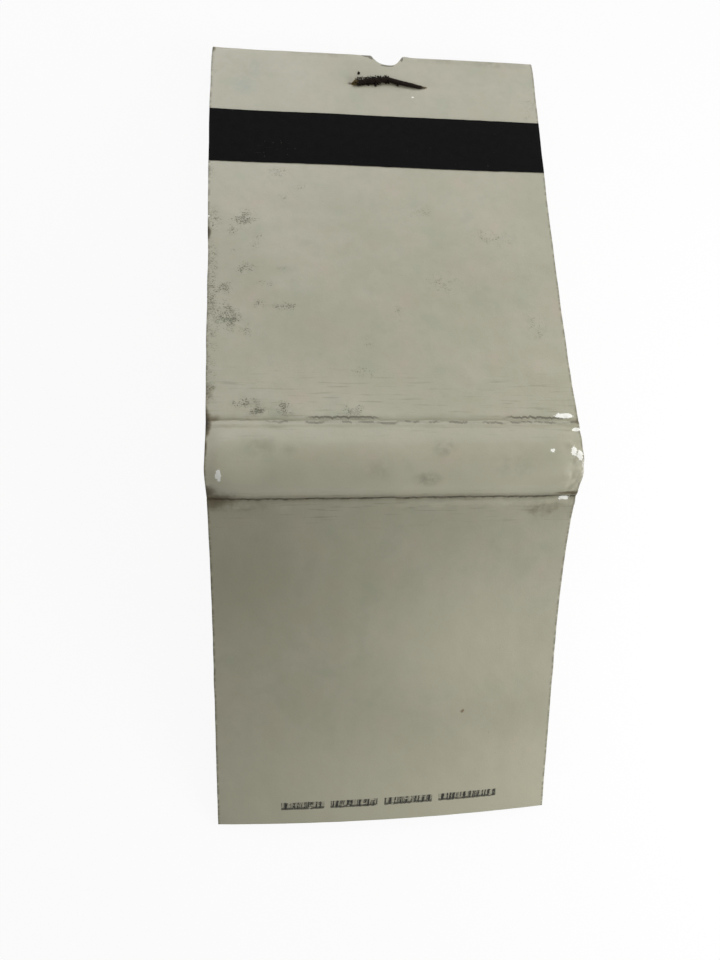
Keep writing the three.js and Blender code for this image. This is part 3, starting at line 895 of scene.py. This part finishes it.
# Rows of points along the cover's two sheets, closer at the folds, the creases and the rims
back_rows = spaced([
    (STUB_EDGE, 0.7), (FOLD_END + STUB_DEPTH + 1.0, 0.12), (FOLD_END - 2.4, 0.26),
    (1.5, 0.09), (-1.2, 0.2), (SPINE_SEAM + 0.16, 0.04), (SPINE_SEAM, 0),
])
front_rows = spaced([
    (SPINE_SEAM, 0.04), (SPINE_SEAM - 0.16, 0.2), (-SPINE_ARC + 1.0, 0.08), (-SPINE_ARC - 1.4, 0.36),
    (FREE_EDGE + 1.0, 0.12), (FREE_EDGE, 0),
])

cover_back = card_sheet("cover_back_and_spine", back_rows, coated_card_finish("back"))
thicken(cover_back, SPINE_SEAM)
cut_out(cover_back, prism("bite", BITE_OUTLINE, -STUB_DEPTH - BITE_OVERREACH, BITE_OVERREACH))
smooth(cover_back)

cover_front = card_sheet("cover_front_and_spine", front_rows, coated_card_finish("front"))
thicken(cover_front, SPINE_SEAM)
smooth(cover_front)


def striker_band():
    """A thin band that follows the back panel, with slightly ragged long edges and a gritty face."""
    columns = np.linspace(-HALF_WIDTH + STRIKER_INSET, HALF_WIDTH - STRIKER_INSET, 150)
    rows = spaced([
        (STRIKER_BOTTOM, 0.12), (STRIKER_BOTTOM - 0.5, 0.4), (STRIKER_TOP + 0.5, 0.12), (STRIKER_TOP, 0),
    ])
    piece, x, along = flat_grid("striker_band", columns, rows)
    near_edge = np.maximum(hump(along - STRIKER_TOP, 0.4), hump(along - STRIKER_BOTTOM, 0.4))
    along = along + 0.035 * noise_over(x, along * 0, 0.8, 12.0) * near_edge
    height = CARD / 2 + STRIKER_LIFT + STRIKER_THICKNESS / 2
    grit = 0.006 * noise_over(x, along, 3.0, 8.0)
    place_points(piece, sheet_places(x, along, height + grit))
    piece.data.materials.append(friction_grit)
    apply_modifier(piece, "SOLIDIFY", thickness=STRIKER_THICKNESS * MM, offset=0.0)
    smooth(piece)
    return piece


striker = striker_band()


# Matches


def copy_of(node, name, finish):
    """A copy of a CAD node to work on, with its doubled points merged."""
    bpy.ops.object.select_all(action="DESELECT")
    piece = frame["nodes"][node].copy()
    piece.data = frame["nodes"][node].data.copy()
    piece.parent = None
    for key in [key for key in piece.keys() if key.startswith("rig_")]:
        del piece[key]
    piece.name = piece.data.name = name
    bpy.context.scene.collection.objects.link(piece)
    piece.data.materials.clear()
    piece.data.materials.append(finish)
    select_only(piece)
    bpy.ops.object.mode_set(mode="EDIT")
    bpy.ops.mesh.select_all(action="SELECT")
    bpy.ops.mesh.remove_doubles(threshold=1e-6)
    bpy.ops.object.mode_set(mode="OBJECT")
    return piece


def moved_out(piece, distance_at):
    """Moves each point along its normal by distance_at(place), both in millimetres."""
    spots = [vertex.co.copy() for vertex in piece.data.vertices]
    normals = [vertex.normal.copy() for vertex in piece.data.vertices]
    for vertex, spot, normal in zip(piece.data.vertices, spots, normals):
        vertex.co = spot + normal * (distance_at(spot / MM) * MM)
    piece.data.update()


def roughened(piece, scale, depth, seed):
    """Gives a piece bumps of the depth, closer together with a larger scale."""
    shift = Vector((seed, 0, 0))
    moved_out(piece, lambda spot: noise.noise(spot * scale + shift) * depth)


def match_stems(layer):
    """A comb of stems with worn edges."""
    comb = copy_of(f"{layer}_comb", f"{layer}_match_stems", match_paper)
    apply_modifier(
        comb, "BEVEL", width=0.07 * MM, segments=2, limit_method="ANGLE", angle_limit=math.radians(50),
    )
    smooth(comb)
    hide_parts(f"{layer}_comb")
    return comb


def match_head(layer, i):
    """A head with the lumps and pores that a dip in wet mix leaves, different on each match."""
    head = copy_of(f"{layer}_head_{i}", f"{layer}_match_head_{i}", match_head_mix)
    apply_modifier(head, "REMESH", mode="VOXEL", voxel_size=0.13 * MM)
    roughened(head, 1.1, 0.09, i)
    roughened(head, 3.5, 0.035, i + 20)
    smooth(head, 60)
    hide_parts(f"{layer}_head_{i}")
    return head


match_pieces = []
for layer in ("rear", "front"):
    match_pieces.append(match_stems(layer))
    match_pieces.extend(match_head(layer, i) for i in range(1, MATCHES + 1))


# Staple and the rust round it

# Middle line of the clinched ends, each (across, along, lift above the card's middle, thickness against new)
CLINCH_LINE = np.array((
    (-3.3, 42.3, 0.0, 0.7), (-2.95, 42.3, 0.04, 0.8), (-2.5, 42.33, 0.25, 0.95), (-0.6, 42.56, 0.38, 1.0),
    (0.7, 42.74, 0.42, 1.0), (1.16, 42.83, 0.45, 1.0), (1.7, 42.75, 0.42, 0.92), (2.75, 42.53, 0.36, 0.88),
    (4.2, 42.24, 0.31, 0.85), (5.1, 42.14, 0.2, 0.7), (5.6, 42.2, 0.11, 0.45), (6.3, 42.3, 0.0, 0.35),
))


def lie_low(piece):
    """Draws the wire above the card down onto the clinch line; the legs and crown under it stay."""
    spots = np.array([vertex.co for vertex in piece.data.vertices]) / MM
    x = spots[:, 0]
    past_y, past_z = spots[:, 1] - rear_crease.y, spots[:, 2] - rear_crease.z
    along = past_y * math.cos(back_slope) - past_z * math.sin(back_slope)
    lift = past_y * math.sin(back_slope) + past_z * math.cos(back_slope)
    above = lift > CARD / 2
    marks = np.linspace(x[above].min(), x[above].max(), 24)
    nearest = [above & (np.abs(x - mark) < 0.35) for mark in marks]
    old_along = np.interp(x, marks, [np.mean(along[near]) for near in nearest])
    old_lift = np.interp(x, marks, [np.mean([lift[near].min(), lift[near].max()]) for near in nearest])
    across, new_along, new_lift, thickness = CLINCH_LINE.T
    share = np.clip((lift + 0.1) / 0.3, 0, 1)
    thin = np.interp(x, across, thickness)
    moved_along = np.interp(x, across, new_along) + (along - old_along) * thin
    moved_lift = np.interp(x, across, new_lift) + (lift - old_lift) * thin * 0.85
    along += (moved_along - along) * share
    lift += (moved_lift - lift) * share
    places = [back_place(*spot) for spot in zip(x, along, lift)]
    piece.data.vertices.foreach_set("co", np.array(places, np.float32).ravel())
    piece.data.update()


def rust_depth(spot):
    """How far rust stands off the wire: thick and lumpy on the left end, thin on the right."""
    on_left = max(0.0, min(1.0, (STAPLE_PEAK[0] - spot.x) / 1.2))
    lumps = noise.noise(spot * 2.2) * (0.02 + 0.06 * on_left)
    return lumps + noise.noise(spot * 6.5) * (0.02 + 0.09 * on_left)


def rusted_staple():
    staple = copy_of("staple", "rusted_staple", rusted_wire)
    apply_modifier(staple, "SUBSURF", levels=2, render_levels=2)
    lie_low(staple)
    moved_out(staple, rust_depth)
    smooth(staple, 60)
    return staple


def crumb(centre, size, shape_seed):
    """One lump of rust with an uneven outline."""
    bpy.ops.object.select_all(action="DESELECT")
    bpy.ops.mesh.primitive_ico_sphere_add(subdivisions=2, radius=size * MM, location=centre)
    piece = bpy.context.active_object
    bpy.ops.object.transform_apply(location=True, rotation=True, scale=True)
    for vertex in piece.data.vertices:
        away = vertex.co - centre
        vertex.co = centre + away * (1 + 0.7 * noise.noise(away / MM * 9 + Vector((shape_seed, 0, 0))))
    return piece


# Larger lumps of rust, each (across, along, lift above the card's face, size, seed of its shape)
RUST_LUMPS = (
    (1.16, 42.86, 0.3, 0.27, 490.0),
    (1.05, 43.1, 0.3, 0.16, 501.0),
    (2.5, 42.25, 0.1, 0.14, 540.0),
    (-0.15, 42.1, 0.05, 0.15, 580.0),
    (-2.08, 43.75, 0.05, 0.15, 620.0),
)
RUST_CRUMBS = 150


def rust_crumbs():
    """Crumbs of rust shed on both sides of the staple's left end, and the larger lumps."""
    draws = random.Random(11)
    crumbs = []
    face = CARD / 2
    for i in range(RUST_CRUMBS):
        across = draws.uniform(-2.5, 1.5)
        middle = np.interp(across, CLINCH_LINE[:, 0], CLINCH_LINE[:, 1])
        spread = abs(draws.gauss(0, 0.12))
        aside = 0.6 + spread if draws.random() < 0.6 else -0.18 - spread
        size = draws.uniform(0.035, 0.08)
        centre = back_place(across, middle + aside, face + size * 0.4)
        crumbs.append(crumb(centre, size, i * 3.7))
    for across, along, lift, size, shape_seed in RUST_LUMPS:
        crumbs.append(crumb(back_place(across, along, face + lift), size, shape_seed))
    bpy.ops.object.select_all(action="DESELECT")
    for piece in crumbs:
        piece.select_set(True)
    bpy.context.view_layer.objects.active = crumbs[0]
    bpy.ops.object.join()
    joined = bpy.context.active_object
    joined.name = joined.data.name = "rust_crumbs"
    joined.data.materials.append(rusted_wire)
    smooth(joined, 60)
    return joined


staple = rusted_staple()
crumbs = rust_crumbs()


# How the pieces move, and what they stand for

for piece in (striker, staple, crumbs, *match_pieces):
    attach(piece, "back")


def crease_ends(crease, slope_before, slope_after):
    """Where the bend at a crease starts and ends, going from the back towards the front."""
    before = Vector((0, math.cos(slope_before), -math.sin(slope_before)))
    after = Vector((0, -math.cos(slope_after), -math.sin(slope_after)))
    return (crease + before * CREASE_REACH) * MM, (crease + after * CREASE_REACH) * MM


start, end = crease_ends(rear_crease, back_slope, spine_slope)
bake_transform(cover_back, "back", "saddle", start=start, end=end)
start, end = crease_ends(front_crease, -spine_slope, front_slope)
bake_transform(cover_front, "saddle", "front", start=start, end=end)
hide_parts("back_cover", "saddle")
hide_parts("front_cover")
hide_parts("striker_strip")
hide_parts("staple")


# Floor, light and camera


# Floor in metres: its width, and how far it lies under the part so that no two faces coincide
FLOOR_SIZE = 3.0
FLOOR_DROP = 0.00005

# How white the floor looks to the camera, and how strongly the surroundings light the part
FLOOR_SEEN = 0.92
WORLD_LEVEL = 0.22


def floor_finish():
    """A pale floor that looks nearly white but still takes the part's shadow."""
    finish = bpy.data.materials.new("pale_floor")
    finish.use_nodes = True
    tree = finish.node_tree
    shader = tree.nodes["Principled BSDF"]
    shader.inputs["Base Color"].default_value = (0.9, 0.9, 0.9, 1)
    shader.inputs["Roughness"].default_value = 0.9
    path = tree.nodes.new("ShaderNodeLightPath")
    camera = Socket(tree, path.outputs["Is Camera Ray"])
    glossy = Socket(tree, path.outputs["Is Glossy Ray"])
    clear = Socket(tree, path.outputs["Is Transmission Ray"])
    seen = strongest([camera, glossy, clear]) * FLOOR_SEEN
    white = camera.node("ShaderNodeEmission", {}, {"Color": (1, 1, 1, 1), "Strength": 1.0})
    body = Socket(tree, shader.outputs[0])
    mixed = camera.node("ShaderNodeMixShader", {}, {0: seen, 1: body, 2: white})
    tree.links.new(mixed.socket, tree.nodes["Material Output"].inputs["Surface"])
    return finish


bpy.ops.object.select_all(action="DESELECT")
bpy.ops.mesh.primitive_plane_add(size=FLOOR_SIZE, location=(0, 0, -FLOOR_DROP))
floor = bpy.context.active_object
floor.name = "floor"
floor.data.materials.append(floor_finish())


def world_light():
    """White all round for the camera, and a weak even light on the part."""
    world = bpy.data.worlds.new("studio")
    bpy.context.scene.world = world
    world.use_nodes = True
    tree = world.node_tree
    background = tree.nodes["Background"]
    background.inputs["Color"].default_value = (1, 1, 1, 1)
    path = tree.nodes.new("ShaderNodeLightPath")
    camera = Socket(tree, path.outputs["Is Camera Ray"])
    level = camera * (1 - WORLD_LEVEL) + WORLD_LEVEL
    tree.links.new(level.socket, background.inputs["Strength"])


# Soft lamps, each (azimuth from +X towards +Y, elevation, distance, width and height in metres, power)
LAMPS = {
    "window": (80, 25, 0.45, 0.5, 0.3, 0.91),
    "window_left": (115, 30, 0.45, 0.4, 0.3, 0.53),
    "near_right": (-12, 25, 0.13, 0.06, 0.05, 0.09),
    "near_corner": (-30, 30, 0.13, 0.06, 0.06, 0.036),
}


def soft_lamp(name, azimuth, elevation, distance, width, height, power):
    """A rectangular lamp that faces the part."""
    lamp = bpy.data.lights.new(name, "AREA")
    lamp.shape = "RECTANGLE"
    lamp.size, lamp.size_y, lamp.energy = width, height, power
    turn, rise = math.radians(azimuth), math.radians(elevation)
    towards = Vector((math.cos(turn) * math.cos(rise), math.sin(turn) * math.cos(rise), math.sin(rise)))
    holder = bpy.data.objects.new(name, lamp)
    holder.location = towards * distance
    holder.rotation_euler = towards.to_track_quat("Z", "Y").to_euler()
    holder.visible_camera = False
    bpy.context.scene.collection.objects.link(holder)


world_light()
for name, lamp in LAMPS.items():
    soft_lamp(name, *lamp)


# Camera at the photograph's viewing angle: place and lens in millimetres, turn in degrees
CAMERA_PLACE = (-12.326, -9.298, 88.692)
CAMERA_TURN_DEG = (2.548, -6.488, -0.783)
CAMERA_LENS = 28.125
CAMERA_SENSOR = 36.0
CAMERA_CLIP = 0.005

camera_data = bpy.data.cameras.new("camera")
camera_data.lens = CAMERA_LENS
camera_data.sensor_width = CAMERA_SENSOR
camera_data.clip_start = CAMERA_CLIP
camera = bpy.data.objects.new("camera", camera_data)
camera.location = Vector(CAMERA_PLACE) * MM
camera.rotation_euler = [math.radians(turn) for turn in CAMERA_TURN_DEG]
bpy.context.scene.collection.objects.link(camera)
bpy.context.scene.camera = camera
bpy.context.scene.view_settings.view_transform = "Standard"
